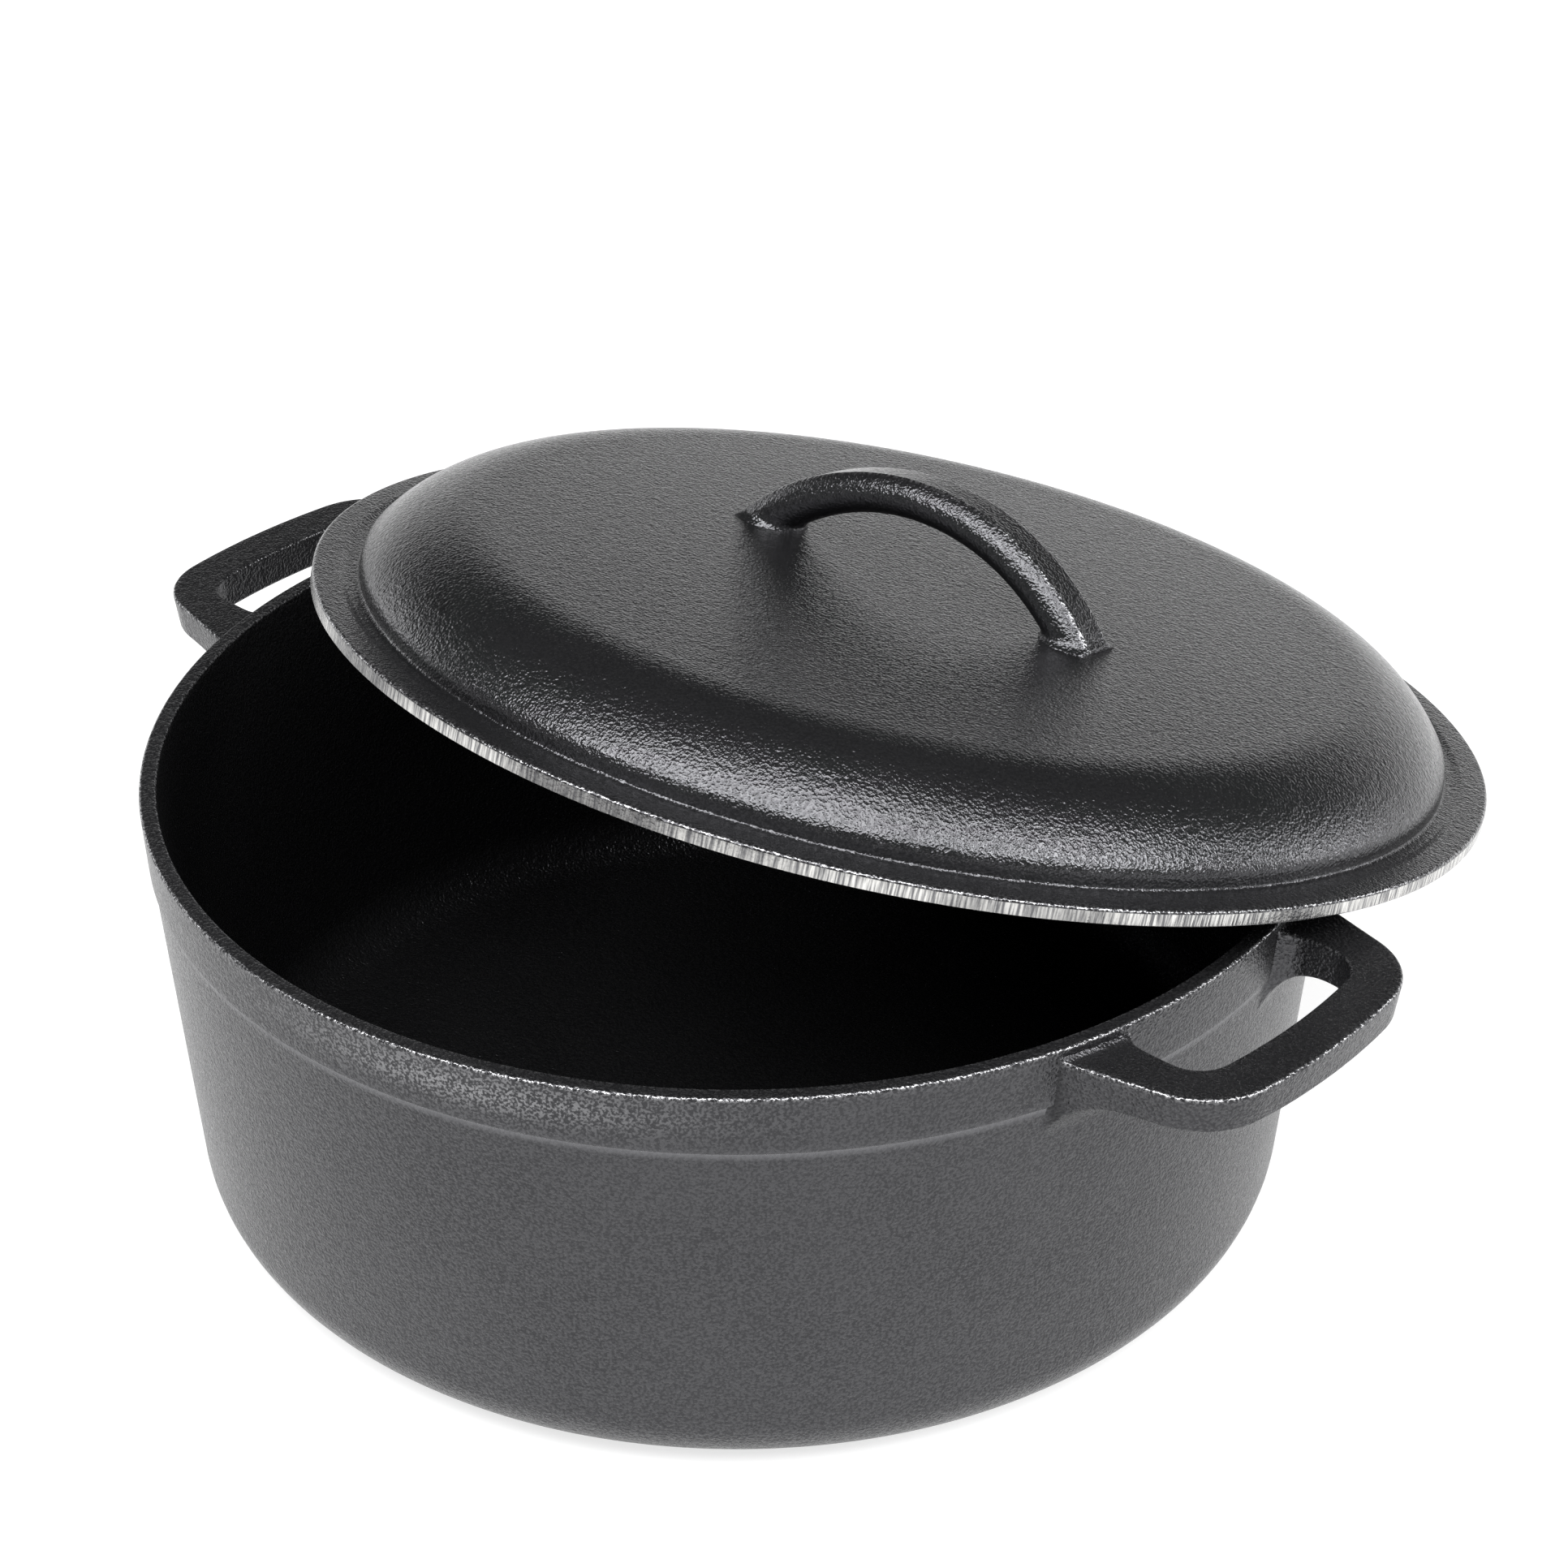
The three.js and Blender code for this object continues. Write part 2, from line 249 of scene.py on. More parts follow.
# On the pot, "wear" also carries the painted highlight patch, and "smooth" a painted highlight line.
pot_body = closed_skin("pot_body", pot_rows, {"wear": pot_wear_and_highlight, "smooth": pot_smooth_and_highlight})
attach(pot_body, "pot")
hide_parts("pot")

# %% [markdown]
# ## The loop handles
#
# Each handle is a flat bar bent into a wide loop round a finger slot, cast in one with the wall. Its front
# is concentric with the pot. Where an arm meets the wall it flares on both sides and deepens into a gusset,
# which is what carries the weight of a full pot. The bar can be thought of as a section carried along the
# loop: one outline runs round the outside, another round the slot, and the section spans the two.

# %% Loop outlines
HANDLE_TOP = RIM_Z - 3.3
HANDLE_REACH = pot_high[0]
BAR_WIDTH = 12.6
BAR_THICKNESS = 10.0
BAR_DRAFT = 1.2
GUSSET_DEPTH = 23.0
GUSSET_LENGTH = 13.0
ROOT_RADIUS = 148.6
PLAN_RADIUS = 151.5


def half_loop(outer_radius, half_width, taper, corner, root_fillet, root_turn):
    """Half of a loop's plan outline, from inside the wall to the middle of the front, in four stretches.

    It runs along the wall, round the root fillet, straight out along the arm, round the outer corner and
    along a circle about the pot's axis. The arm closes in by taper degrees as it goes out, and the root
    starts root_turn degrees further round the wall than the arm meets it. The corner's centre lies a corner
    radius inside the arm's line and a corner radius inside that circle, which fixes it as where a line meets
    a circle.
    """
    lean = np.radians(taper)
    along = np.array([np.cos(lean), -np.sin(lean)])
    inward = np.array([-np.sin(lean), -np.cos(lean)])
    base = np.array([ROOT_RADIUS, half_width])
    offset = base + corner * inward
    reach = outer_radius - corner
    shadow = offset @ along
    centre = offset + along * (-shadow + np.sqrt(shadow**2 - offset @ offset + reach**2))
    touch = centre - corner * inward
    shadow = base @ along
    root = base + along * (-shadow + np.sqrt(shadow**2 - base @ base + PLAN_RADIUS**2))
    bearing = np.arctan2(root[1], root[0]) + np.radians(root_turn)
    sunk = ROOT_RADIUS * np.array([np.cos(bearing), np.sin(bearing)])
    fillet = rounded([(*sunk, 0), (*root, root_fillet), (*touch, 0)], steps=14)
    start, end = 90 - taper, np.degrees(np.arctan2(centre[1], centre[0]))
    return [
        spaced(fillet[:-1], 0.6),
        np.stack([fillet[-2], touch]),
        arc(centre, corner, start, end, 16),
        arc((0, 0), outer_radius, end, 0, 24),
    ]


def matched(stretches, counts):
    """The stretches joined into one outline, each resampled by length to its own count of points."""
    joined = []
    for stretch, count in zip(stretches, counts):
        length = np.concatenate([[0], np.cumsum(np.linalg.norm(np.diff(stretch, axis=0), axis=1))])
        at = np.linspace(0, length[-1], count, endpoint=False)
        joined.append(np.stack([np.interp(at, length, stretch[:, k]) for k in (0, 1)], axis=-1))
    half = np.concatenate(joined + [stretches[-1][-1:]])
    return np.concatenate([half, half[-2::-1] * [1, -1]])


STRETCH_COUNTS = (16, 16, 20, 24)
outer_half = half_loop(HANDLE_REACH, half_width=47.0, taper=13, corner=21.0, root_fillet=3.6, root_turn=2.8)
slot_half = half_loop(
    HANDLE_REACH - BAR_WIDTH, half_width=31.3, taper=0, corner=9.5, root_fillet=7.0, root_turn=-4.8
)
outer_line = matched(outer_half, STRETCH_COUNTS)
slot_line = matched(slot_half, STRETCH_COUNTS)
print("outer outline", len(outer_line), "points; slot outline", len(slot_line), "points")

# %% Bar section


def bar_section(top_edge, low_edge, flat_points):
    """The bar's section as four columns: share of the width, offset across, share of the height, offset up.

    The section is a rectangle with rounded corners. A corner's points hang on that corner, so that the
    roundings keep their size while the bar widens and deepens.
    """
    corners = [
        (0, 1, top_edge, 180, 90),
        (1, 1, top_edge, 90, 0),
        (1, 0, low_edge, 0, -90),
        (0, 0, low_edge, -90, -180),
    ]
    rows = []
    for across, up, radius, start, end in corners:
        centre = (radius * (1 - 2 * across), radius * (1 - 2 * up))
        offset = arc(centre, radius, start, end, 6)
        share = np.tile([across, up], (len(offset), 1))
        rows.append(np.stack([share[:, 0], offset[:, 0], share[:, 1], offset[:, 1]], axis=-1))
    rows.append(rows[0][:1])
    filled = []
    for here, after in zip(rows[:-1], rows[1:]):
        ease = np.linspace(0, 1, flat_points + 2)[1:-1, None]
        filled += [here, here[-1] + ease * (after[0] - here[-1])]
    return np.concatenate(filled)


section = bar_section(top_edge=0.8, low_edge=1.0, flat_points=7)
print("bar section has", len(section), "points")

# %% Loop handle surface
TOP_FILLET = 1.3  # where the top face rises onto the wall
SLOT_EDGE_WEAR = 0.5
ROOT_STEP = 13  # the row of the outline where the root fillet is tightest
ROOT_STEPS_WIDE = 3.5
# The outer roots of the handles are painted darker: painted shade where the arm meets the wall.
PAINTED_ROOT_SHADE = 0.85
ROOT_SHADE_OUTWARD = 8  # a high power keeps the painted shade on the outer side of the root


def loop_handle(name, turn):
    """Both handles are one surface, turned about the pot's axis by 0 or 180 degrees.

    A point of the section at place s on the loop is the slot outline at s plus its share of the way to the
    outer outline. Its height is its share of the way from the underside to the top. Near the wall the
    underside drops along a quarter ellipse into the gusset, and the top rises in a small round fillet.
    No point goes closer to the axis than ROOT_RADIUS, which lies inside the wall's thickness.
    The "wear" mark follows the two top edges. The root mark darkens the outer roots, a painted shade where the
    arm meets the wall.
    """
    across, shift, up, lift = section.T
    span = outer_line - slot_line
    width = np.linalg.norm(span, axis=1)[:, None]
    lean_in = BAR_DRAFT * across * (1 - up)
    share = (across * width + shift - lean_in) / width
    plan = slot_line[:, None] + share[..., None] * span[:, None]
    radius = np.linalg.norm(plan, axis=-1)
    plan = plan * (np.maximum(radius, ROOT_RADIUS) / radius)[..., None]
    radius = np.maximum(radius, ROOT_RADIUS)
    foot = HANDLE_TOP - GUSSET_DEPTH
    under = HANDLE_TOP - BAR_THICKNESS
    start = RIM_RADIUS + GUSSET_LENGTH
    depth = np.clip((start - radius) / (start - wall_radius(foot)), 0, 1)
    floor = foot + (under - foot) * np.sqrt(1 - depth**2)
    near = np.clip(1 - (radius - wall_radius(HANDLE_TOP)) / TOP_FILLET, 0, 1)
    ceiling = HANDLE_TOP + TOP_FILLET * (1 - np.sqrt(1 - near**2))
    z = floor + up * (ceiling - floor) + lift
    middle = np.concatenate([plan, z[..., None]], axis=-1)
    ends = [np.broadcast_to(middle[k].mean(axis=0), middle[k].shape)[None] for k in (0, -1)]
    rows = np.concatenate([ends[0], middle, ends[1]])
    cos, sin = np.cos(np.radians(turn)), np.sin(np.radians(turn))
    rows = rows @ np.array([[cos, sin, 0], [-sin, cos, 0], [0, 0, 1]])
    worn_width = WEAR_WIDTH / width
    edge_wear = bump(share, 1, worn_width) + SLOT_EDGE_WEAR * bump(share, 0, worn_width)
    edge = bump(z, ceiling, WEAR_WIDTH) * edge_wear
    wear = np.concatenate([edge[:1], edge, edge[-1:]])
    step = np.arange(len(rows))[:, None]
    far_root = len(rows) - 1 - ROOT_STEP
    root = bump(step, ROOT_STEP, ROOT_STEPS_WIDE) + bump(step, far_root, ROOT_STEPS_WIDE)
    outward = np.concatenate([share[:1], share, share[-1:]]).clip(0, 1)
    painted_root_shade = PAINTED_ROOT_SHADE * root * outward**ROOT_SHADE_OUTWARD
    piece = closed_skin(name, rows, {"wear": wear, "smooth": 0 * wear, "painted_root_shade": painted_root_shade})
    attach(piece, "pot")
    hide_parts("pot")
    return piece


right_handle = loop_handle("loop_handle_right", 0)
left_handle = loop_handle("loop_handle_left", 180)

# %% [markdown]
# ## The lid
#
# The lid is a shallow dome with a nearly flat crown and a broad round shoulder. A soft groove runs round its
# foot, then a flat flange whose outer edge is ground. It is turned like the pot, in its own upright place,
# and then tilted and shifted to where it lies on the pot.
#
# A crown that met the shoulder in a plain corner, or in a small arc, would show a ring in the gloss. So the
# slope grows gently in between, as the square of the way across, and the height is its running sum.

# %% Lid sizes and place
LID_RADIUS = 154.95
FLANGE = 4.0
FLANGE_EDGE = 0.9
GROOVE_DEPTH = 0.5
CROWN = 25.4
CROWN_EDGE = 110.0
SHOULDER_TOP = 24.8
SHOULDER_START = 72.0
CROWN_SLOPE = 0.8  # degrees, where the crown starts to bend
UNDER_RISE = 0.5
SHOULDER = 37.6
SHOULDER_CENTRE = 111.6
SHOULDER_END = 36.3
SKIRT = 6.0
LID_WALL = 4.6
RING_OUTER = 146.4
RING_INNER = 141.0
RING_DEPTH = 2.0

LID_SHIFT, LID_SHIFT_BEARING = 52.4, np.radians(79.3)
LID_RAISE = 6.1
LID_TILT, LID_LEAN_BEARING = 14.75, 83.7
LID_SPIN = 5.6

lean_axis = Vector((-np.sin(np.radians(LID_LEAN_BEARING)), np.cos(np.radians(LID_LEAN_BEARING)), 0))
lid_turn = Matrix.Rotation(np.radians(LID_TILT), 3, lean_axis) @ Matrix.Rotation(np.radians(LID_SPIN), 3, "Z")
lid_centre = np.array(
    [LID_SHIFT * np.cos(LID_SHIFT_BEARING), LID_SHIFT * np.sin(LID_SHIFT_BEARING), RIM_Z + LID_RAISE]
)


def laid(rows):
    """Points of the upright lid, turned and moved to where the lid lies."""
    return rows @ np.array(lid_turn).T + lid_centre


print("the lid's axis points along", (np.array(lid_turn) @ [0, 0, 1]).round(3))

# %% Lid shell
LID_COLUMNS = 344
BEND_STEPS = 25
GROOVE_FLOOR, GROOVE_RISE = 3.4, 5.2  # outwards from the dome's foot
GROUND_DEPTH = 0.25
LID_EDGE_WEAR = 0.8
LID_WEAR_WIDTH = 0.6

shoulder_z = SHOULDER_TOP - SHOULDER
bend = arc((SHOULDER_CENTRE, shoulder_z), SHOULDER, SHOULDER_END, SHOULDER_END, 0)[0]
skirt = bend - SKIRT * np.array([np.cos(np.radians(SHOULDER_END)), np.sin(np.radians(SHOULDER_END))])
foot_radius = skirt[0] + SKIRT
groove_z = FLANGE - GROOVE_DEPTH
inner_shoulder = SHOULDER - LID_WALL
inner_end = np.degrees(np.arccos((RING_INNER - SHOULDER_CENTRE) / inner_shoulder))

shoulder = arc((SHOULDER_CENTRE, shoulder_z), SHOULDER, SHOULDER_START, SHOULDER_END, 40)
bend_r = np.linspace(CROWN_EDGE, shoulder[0, 0], BEND_STEPS)
slope_gain = 90 - SHOULDER_START - CROWN_SLOPE
bend_slope = np.radians(CROWN_SLOPE + slope_gain * np.linspace(0, 1, BEND_STEPS) ** 2)
middle_slope = (bend_slope[1:] + bend_slope[:-1]) / 2
bend_drop = np.concatenate([[0], np.cumsum(np.diff(bend_r) * np.tan(middle_slope))])
bend_line = np.stack([bend_r, shoulder[0, 1] + bend_drop[-1] - bend_drop], axis=-1)
crown_sag = CROWN - bend_line[0, 1]
print("the crown sags", crown_sag.round(2), "mm from its middle to where it bends into the shoulder")


def crown_height(r):
    """Height of the crown at radius r: a shallow parabola that reaches the shoulder's bend."""
    return CROWN - crown_sag * (r / CROWN_EDGE) ** 2


crown_r = np.linspace(0, CROWN_EDGE, 40)
crown_line = np.stack([crown_r, crown_height(crown_r)], axis=-1)
under_r = np.linspace(SHOULDER_CENTRE, 0, 40)
under_rise = UNDER_RISE * (1 - (under_r / SHOULDER_CENTRE) ** 2)
under_line = np.stack([under_r, SHOULDER_TOP - LID_WALL + under_rise], axis=-1)
flange_line = rounded(
    [
        (foot_radius, skirt[1], 0),
        (foot_radius, groove_z, 1.0),
        (foot_radius + GROOVE_FLOOR, groove_z, 1.5),
        (foot_radius + GROOVE_RISE, FLANGE, 2.5),
        (LID_RADIUS, FLANGE, FLANGE_EDGE),
        (LID_RADIUS, 0, 0.35),
        (RING_OUTER, 0, 0.3),
        (RING_OUTER, -RING_DEPTH, 0.5),
        (RING_INNER, -RING_DEPTH, 0.8),
        (RING_INNER, shoulder_z + inner_shoulder * np.sin(np.radians(inner_end)), 0),
    ],
    steps=10,
)
lid_outline = np.concatenate(
    [
        crown_line,
        bend_line[1:],
        shoulder[1:],
        arc(skirt, SKIRT, SHOULDER_END, 0, 14)[1:],
        flange_line[1:],
        arc((SHOULDER_CENTRE, shoulder_z), inner_shoulder, inner_end, 90, 32)[1:],
        under_line[1:],
    ]
)
lid_outline = spaced(lid_outline, 3.0)
lid_r, lid_z = lid_outline.T
lid_rows = laid(turned(lid_outline, LID_COLUMNS))
whole_ring = np.ones(LID_COLUMNS)
between_edges = (lid_z > 0.2) & (lid_z < FLANGE - FLANGE_EDGE + 0.1)
ground = between_edges & (lid_r > LID_RADIUS - GROUND_DEPTH)
flange_corner = bump(lid_r, LID_RADIUS, LID_WEAR_WIDTH) * bump(lid_z, FLANGE, LID_WEAR_WIDTH)
lid_wear = LID_EDGE_WEAR * flange_corner
lid_marks = {
    "wear": lid_wear[:, None] * whole_ring,
    "smooth": 0 * lid_r[:, None] * whole_ring,
    "ground": ground[:, None] * whole_ring,
}
lid_shell = closed_skin("lid_shell", lid_rows, lid_marks)
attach(lid_shell, "lid")
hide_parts("lid")

# %% [markdown]
# ## The lid handle
#
# The arch is cast with the lid. Its section has a narrow flat on the outer face, round cheeks down to the
# middle, and a round belly that the fingers hook under. Each cheek and the belly are parts of ellipses. The
# section is carried along a circular arc that ends inside the crown, and each foot flares a little where it
# meets the crown, as the fillet of the pattern does.

# %% Lid arch
ARCH_OUTER = 72.4
ARCH_INNER = 61.3
ARCH_DROP = 21.0
ARCH_FLAT = 4.6
ARCH_HALF = 8.0
FOOT_FILLET = 2.2
FOOT_SINK = 3.2  # how far the middle of the bar ends below the crown
FLAT_EDGE = 0.9
CREASE_WEAR = 0.4
ARCH_STEPS = 120

arch_middle = (ARCH_OUTER + ARCH_INNER) / 2
arch_depth = (ARCH_OUTER - ARCH_INNER) / 2
belly = arc((0, 0), 1, 0, -180, 40) * [ARCH_HALF, arch_depth] + [0, arch_middle]
brow = np.degrees(np.arccos(ARCH_FLAT / ARCH_HALF))
brow_depth = arch_depth / np.sin(np.radians(brow))
cheek = arc((0, 0), 1, brow, 0, 20) * [ARCH_HALF, brow_depth] + [0, arch_middle]
arch_section = rounded(
    [
        (0, ARCH_OUTER, 0),
        (ARCH_FLAT, ARCH_OUTER, FLAT_EDGE),
        *[(*p, 0) for p in cheek[3:]],
        *[(*p, 0) for p in belly[1:-1]],
        *[(*p, 0) for p in (cheek * [-1, 1])[:2:-1]],
        (-ARCH_FLAT, ARCH_OUTER, FLAT_EDGE),
        (0, ARCH_OUTER, 0),
    ],
    steps=6,
)
arch_section = spaced(arch_section, 1.0)[:-1]
foot_angle = np.degrees(np.arccos((ARCH_DROP + CROWN - FOOT_SINK) / arch_middle))
swing = np.radians(np.linspace(-foot_angle, foot_angle, ARCH_STEPS))[:, None]
side, reach = arch_section.T
arch = np.stack([reach * np.sin(swing), side + 0 * swing, reach * np.cos(swing) - ARCH_DROP], axis=-1)
height = arch[..., 2] - crown_height(np.linalg.norm(arch[..., :2], axis=-1))
near = np.clip(1 - height / FOOT_FILLET, 0, 1)
outward = arch - arch.mean(axis=1, keepdims=True)
outward[..., 2] = 0
outward /= np.linalg.norm(outward, axis=-1, keepdims=True) + 1e-9
arch = arch + (FOOT_FILLET * (1 - np.sqrt(1 - near**2)))[..., None] * outward
caps = [np.broadcast_to(arch[k].mean(axis=0), arch[k].shape)[None] for k in (0, -1)]
arch = laid(np.concatenate([caps[0], arch, caps[1]]))
crease = CREASE_WEAR * bump(np.abs(side), ARCH_FLAT, WEAR_WIDTH) * bump(reach, ARCH_OUTER, WEAR_WIDTH)
arch_wear = np.ones(len(arch))[:, None] * crease
arch_marks = {"wear": arch_wear, "smooth": 0 * arch_wear, "ground": 0 * arch_wear}
lid_arch = closed_skin("lid_arch", arch, arch_marks)
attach(lid_arch, "lid")
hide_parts("lid")

# %% [markdown]
# ## Seasoned cast iron
#
# Sand leaves the casting with a fine pebbled skin, under a millimetre from grain to grain, on a coarser one of
# about two. Baked oil fills its valleys and turns it black, with a soft sheen that is glossier on the peaks.
# Where the lid or a hand rubs, the peaks wear through to brighter iron. On the pot the same grey also paints a
# highlight patch on the band, and a lighter grey paints a highlight line along the step. The outer roots of the
# loop handles are painted near black: painted shade in those corners. One function makes the finish, and each
# piece's own number patterns say where it is worn, where highlights are painted and where shade is painted. A
# painted image could do the same, but these patterns keep their size in millimetres on any shape.

# %% Colour and nodes


def linear(hex_colour):
    """An sRGB hex colour as the linear red, green, blue and alpha that the shaders take."""
    value = np.array([int(hex_colour[i : i + 2], 16) for i in (1, 3, 5)]) / 255
    low, high = value / 12.92, ((value + 0.055) / 1.055) ** 2.4
    return (*np.where(value <= 0.04045, low, high), 1.0)


def add_node(tree, kind, settings=None, **links):
    """Adds a node, sets its properties and sockets, and links sockets to the sockets that are given.

    A socket is named with _ for each space, or as i and its number where several share a name.
    """
    node = tree.nodes.new(kind)
    for name, value in (settings or {}).items():
        if isinstance(name, int) or name in node.inputs:
            node.inputs[name].default_value = value
        else:
            setattr(node, name, value)
    for name, source in links.items():
        key = int(name[1:]) if name[0] == "i" and name[1:].isdigit() else name.replace("_", " ")
        tree.links.new(source, node.inputs[key])
    return node


# %% Seasoned iron
GRAIN_MM = 0.74  # one sand grain
PEBBLE_MM = 1.9  # clumps of grains
CLOUD_MM = 40.0  # uneven baking
COARSE_SHARE = 0.7
CLOUD_SHARE = 0.25
GLOSS_SWING = 0.06
# How far the step's line is painted towards light grey: a painted highlight.
HIGHLIGHT_LINE_SHARE = 0.4
METALLIC = 0.85  # the baked oil is a thin skin on metal, so it is a little less than bare iron


def seasoned_iron(name, black, sheen_black, worn, rough, grain_height, ground=False):
    """Black oil-seasoned iron: a pebbled bump, cloudy blackness, and brighter worn edges.

    The bump is a fine grain plus a share of a coarser one. Rubbed peaks are where wear and grain are both high.
    On the pot's band the wear mark also carries a painted highlight patch in the same grey.
    To the eye it is a dark surface that breaks every highlight into fine sparkles.
    """
    material = bpy.data.materials.new(name)
    material.use_nodes = True
    tree = material.node_tree
    tree.nodes.clear()
    place = add_node(tree, "ShaderNodeTexCoord").outputs["Object"]

    def noise(size_mm, detail):
        settings = {"Scale": 1 / (size_mm * MM), "Detail": detail}
        return add_node(tree, "ShaderNodeTexNoise", settings, Vector=place).outputs["Fac"]

    def mark(attribute):
        return add_node(tree, "ShaderNodeAttribute", {"attribute_name": attribute}).outputs["Fac"]

    grain, pebble, cloud = noise(GRAIN_MM, 1.0), noise(PEBBLE_MM, 1.0), noise(CLOUD_MM, 3.0)
    wear, smooth, painted_root_shade = mark("wear"), mark("smooth"), mark("painted_root_shade")

    coarse = {"operation": "MULTIPLY_ADD", 1: COARSE_SHARE}
    relief = add_node(tree, "ShaderNodeMath", coarse, i0=pebble, i2=grain).outputs[0]
    sanded = add_node(tree, "ShaderNodeMath", {"operation": "SUBTRACT", 0: 1.0}, i1=smooth).outputs[0]
    skin_bump = add_node(
        tree, "ShaderNodeBump", {"Distance": grain_height * MM}, Height=relief, Strength=sanded
    )

    cloudy = add_node(tree, "ShaderNodeMapRange", {"From Min": 0.35, "From Max": 0.65}, Value=cloud).outputs[0]
    peaks = add_node(tree, "ShaderNodeMapRange", {"From Min": 0.4, "From Max": 0.62}, Value=grain).outputs[0]
    mottle = {"operation": "MULTIPLY_ADD", 1: CLOUD_SHARE}
    share = add_node(tree, "ShaderNodeMath", mottle, i0=cloudy, i2=peaks).outputs[0]
    blacks = {"data_type": "RGBA", 6: linear(black), 7: linear(sheen_black)}
    skin = add_node(tree, "ShaderNodeMix", blacks, i0=share).outputs[2]

    # The worn grey goes where the wear mark and the grain's tops are both high; on the pot's band this is a
    # painted highlight.
    tops = add_node(tree, "ShaderNodeMapRange", {"From Min": 0.46, "From Max": 0.6}, Value=grain).outputs[0]
    rubbed_and_highlighted = add_node(tree, "ShaderNodeMath", {"operation": "MULTIPLY"}, i0=wear, i1=tops).outputs[0]
    worn_and_highlight_skin = {"data_type": "RGBA", 7: linear(worn)}
    skin = add_node(tree, "ShaderNodeMix", worn_and_highlight_skin, i0=rubbed_and_highlighted, i6=skin).outputs[2]

    # A lighter grey line along the step: a painted highlight.
    painted_highlight_share = add_node(tree, "ShaderNodeMath", {"operation": "MULTIPLY", 1: HIGHLIGHT_LINE_SHARE}, i0=smooth).outputs[0]
    painted_highlight_grey = {"data_type": "RGBA", 7: linear("#8a8a8d")}
    skin = add_node(tree, "ShaderNodeMix", painted_highlight_grey, i0=painted_highlight_share, i6=skin).outputs[2]
    # Near black painted over the handles' outer roots: painted shade.
    painted_shade_black = {"data_type": "RGBA", 7: linear("#121213")}
    colour = add_node(tree, "ShaderNodeMix", painted_shade_black, i0=painted_root_shade, i6=skin).outputs[2]

    swing = {"From Min": 0.3, "From Max": 0.7, "To Min": rough + GLOSS_SWING, "To Max": rough - GLOSS_SWING}
    roughness = add_node(tree, "ShaderNodeMapRange", swing, Value=grain).outputs[0]
    normal = skin_bump.outputs["Normal"]
    if ground:
        colour, normal = ground_edge(tree, place, mark("ground"), colour, normal)
    shader = add_node(
        tree,
        "ShaderNodeBsdfPrincipled",
        {"Metallic": METALLIC},
        Base_Color=colour,
        Roughness=roughness,
        Normal=normal,
    )
    add_node(tree, "ShaderNodeOutputMaterial", Surface=shader.outputs[0])
    return material


# %% [markdown]
# ## The ground edge
#
# The lid's edge is cleaned up on a grinding belt, which leaves fine upright scratches in bare grey iron. In
# places the oil has covered it again. The scratches are noise stretched along the lid's own axis, so a
# Mapping node first turns the pattern's space into the place where the lid stands upright.

# %% Ground edge
STRIA_MM = 0.6  # from scratch to scratch, drawn coarser than real ones so that they show
STRIA_STRETCH = 14
STRIA_DEPTH = 0.25
PATCH_MM = 50.0
OILED_OVER = 0.28  # how much bare iron still shows in a covered patch


def ground_edge(tree, place, marked, colour, normal):
    """Bare scratched iron laid over a colour and a normal where marked is high, in uneven patches."""
    lid_space = {
        "vector_type": "TEXTURE",
        "Location": lid_centre * MM,
        "Rotation": lid_turn.to_euler(),
        "Scale": (1, 1, STRIA_STRETCH),
    }
    upright = add_node(tree, "ShaderNodeMapping", lid_space, Vector=place).outputs[0]
    stria = {"Scale": 1 / (STRIA_MM * MM), "Detail": 2.0}
    lines = add_node(tree, "ShaderNodeTexNoise", stria, Vector=upright).outputs["Fac"]
    cut = add_node(tree, "ShaderNodeBump", {"Distance": STRIA_DEPTH * MM}, Height=lines).outputs["Normal"]
    streak = add_node(tree, "ShaderNodeMapRange", {"From Min": 0.36, "From Max": 0.64}, Value=lines).outputs[0]
    spread = {"Scale": 1 / (PATCH_MM * MM), "Detail": 1.0}
    patch = add_node(tree, "ShaderNodeTexNoise", spread, Vector=place).outputs["Fac"]
    covered = {"From Min": 0.42, "From Max": 0.55, "To Min": OILED_OVER}
    patch = add_node(tree, "ShaderNodeMapRange", covered, Value=patch).outputs[0]
    edge = add_node(tree, "ShaderNodeMath", {"operation": "MULTIPLY"}, i0=marked, i1=patch).outputs[0]
    greys = {"data_type": "RGBA", 6: linear("#6b6b6d"), 7: linear("#d8d7d4")}
    bare = add_node(tree, "ShaderNodeMix", greys, i0=streak).outputs[2]
    colour = add_node(tree, "ShaderNodeMix", {"data_type": "RGBA"}, i0=edge, i6=colour, i7=bare).outputs[2]
    normal = add_node(tree, "ShaderNodeMix", {"data_type": "VECTOR"}, i0=edge, i4=normal, i5=cut).outputs[1]
    return colour, normal


# %% Iron on the pieces
# The pot has a grainy, half-matt skin. The lid has less grain and more gloss, so it mirrors the room softly.
pot_iron = seasoned_iron(
    "seasoned_cast_iron_pot", "#363638", "#48484a", "#c8c8ca", rough=0.29, grain_height=0.34
)
lid_iron = seasoned_iron(
    "seasoned_cast_iron_lid", "#3a3a3c", "#48484a", "#c8c8ca", rough=0.2, grain_height=0.25, ground=True
)
for iron, pieces in ((pot_iron, (pot_body, right_handle, left_handle)), (lid_iron, (lid_shell, lid_arch))):
    for piece in pieces:
        piece.data.materials.append(iron)
    print(iron.name, "on", [piece.name for piece in pieces])

# %% [markdown]
# ## Floor, light and camera
#
# Black iron shows mostly what it reflects. The floor is a light table, so it is white right up to the object,
# and the wall mirrors it. The room glows near the horizon and is dark above,
# which puts a soft light on the far part of the lid and leaves the tops of the handles dark. Three large soft
# lights on the camera's side draw the bright line along the lid's shoulder, and two small low ones light the
# pot's flanks. Ceiling light alone would put the highlight too high on the dome.

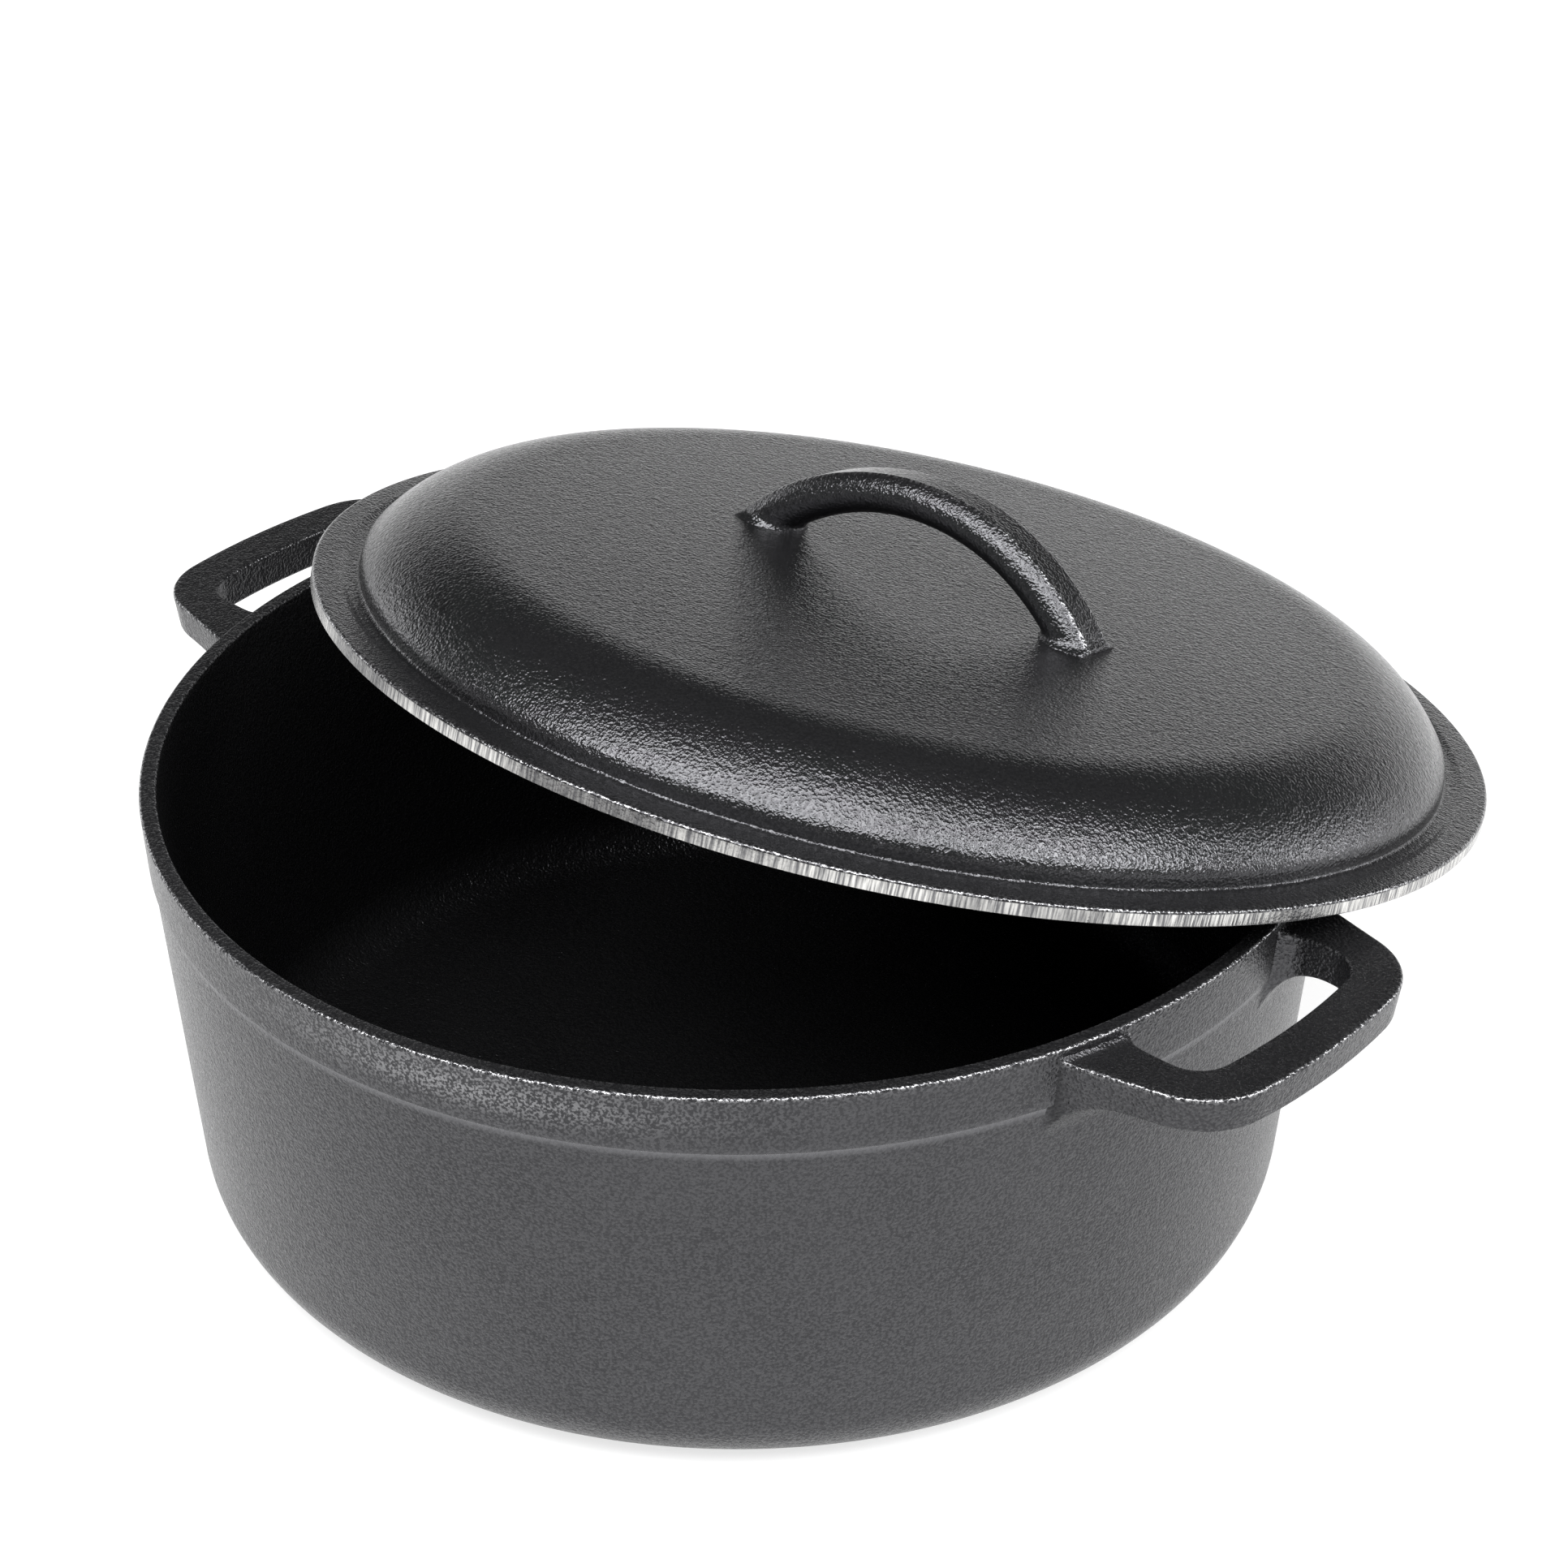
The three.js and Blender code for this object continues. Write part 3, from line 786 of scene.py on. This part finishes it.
# %% Floor
FLOOR_SIZE = 12.0
FLOOR_GLOW = 0.75
floor_mesh = bpy.data.meshes.new("studio_floor")
half = FLOOR_SIZE / 2
floor_corners = [(-half, -half, 0), (half, -half, 0), (half, half, 0), (-half, half, 0)]
floor_mesh.from_pydata(floor_corners, [], [(0, 1, 2, 3)])
studio_floor = bpy.data.objects.new("studio_floor", floor_mesh)
bpy.context.scene.collection.objects.link(studio_floor)
# Opal acrylic, lit from below: an even white with no gloss that would draw the eye.
acrylic = bpy.data.materials.new("opal_acrylic_light_table")
acrylic.use_nodes = True
acrylic_sockets = acrylic.node_tree.nodes["Principled BSDF"].inputs
acrylic_sockets["Base Color"].default_value = linear("#9c9c9c")
acrylic_sockets["Roughness"].default_value = 0.9
acrylic_sockets["Emission Color"].default_value = linear("#ffffff")
acrylic_sockets["Emission Strength"].default_value = FLOOR_GLOW
floor_mesh.materials.append(acrylic)
print("floor", FLOOR_SIZE, "m across")

# %% Room light
HORIZON_HEIGHT, GLOW_TOP = 0.02, 0.25  # heights of a unit vector
HORIZON_GLOW, CEILING_GLOW = 1.0, 0.02
world = bpy.data.worlds.new("studio_room")
world.use_nodes = True
sky = world.node_tree
outlook = add_node(sky, "ShaderNodeTexCoord").outputs["Generated"]
sight_height = add_node(sky, "ShaderNodeSeparateXYZ", Vector=outlook).outputs["Z"]
fading = {
    "interpolation_type": "SMOOTHSTEP",
    "From Min": HORIZON_HEIGHT,
    "From Max": GLOW_TOP,
    "To Min": HORIZON_GLOW,
    "To Max": CEILING_GLOW,
}
glow = add_node(sky, "ShaderNodeMapRange", fading, Value=sight_height).outputs[0]
sky.nodes["Background"].inputs["Color"].default_value = linear("#ffffff")
sky.links.new(glow, sky.nodes["Background"].inputs["Strength"])
bpy.context.scene.world = world
bpy.context.scene.view_settings.view_transform = "Standard"
print("room glow from", HORIZON_GLOW, "at the horizon to", CEILING_GLOW, "above")

# %% Softboxes
LIGHT_DISTANCE = 2.2
LIGHT_TARGET = Vector((0, 0, 0.1))


def softbox(name, azimuth, elevation, size, watts):
    """A square area light at a distance from the pot in the direction of two angles, facing the pot."""
    a, e = np.radians([azimuth, elevation])
    place = LIGHT_DISTANCE * Vector((np.cos(e) * np.cos(a), np.cos(e) * np.sin(a), np.sin(e)))
    light = bpy.data.lights.new(name, "AREA")
    light.shape = "SQUARE"
    light.size = size
    light.energy = watts
    lamp = bpy.data.objects.new(name, light)
    lamp.location = place
    lamp.rotation_euler = (LIGHT_TARGET - place).to_track_quat("-Z", "Y").to_euler()
    bpy.context.scene.collection.objects.link(lamp)
    print(f"{name}: {size} m, {watts} W")


softbox("front_softbox", azimuth=-50, elevation=64, size=1.5, watts=56)
softbox("left_softbox", azimuth=-112, elevation=52, size=1.0, watts=30)
softbox("right_softbox", azimuth=12, elevation=43, size=1.0, watts=34)
softbox("far_left_softbox", azimuth=-176, elevation=15, size=0.8, watts=5)
softbox("far_right_softbox", azimuth=50, elevation=14, size=0.7, watts=11)

# %% Camera
CAMERA_PLACE = Vector((0.5959, -0.6391, 0.6385))
VIEW_DIRECTION = Vector((-0.5749, 0.6329, -0.5184)).normalized()
CAMERA_ROLL = 0.0022
right = VIEW_DIRECTION.cross(Vector((0, 0, 1))).normalized()
upward = right.cross(VIEW_DIRECTION)
rolled_right = right * np.cos(CAMERA_ROLL) + upward * np.sin(CAMERA_ROLL)
rolled_up = upward * np.cos(CAMERA_ROLL) - right * np.sin(CAMERA_ROLL)
lens = bpy.data.cameras.new("camera")
lens.lens = 91.45
lens.sensor_width = 36.0
lens.clip_start = 0.05
camera = bpy.data.objects.new("camera", lens)
camera.matrix_world = Matrix.Translation(CAMERA_PLACE) @ Matrix(
    (rolled_right, rolled_up, -VIEW_DIRECTION)
).transposed().to_4x4()
bpy.context.scene.collection.objects.link(camera)
bpy.context.scene.camera = camera
print(f"camera {(CAMERA_PLACE - LIGHT_TARGET).length:.2f} m from the pot, lens {lens.lens:.2f} mm")
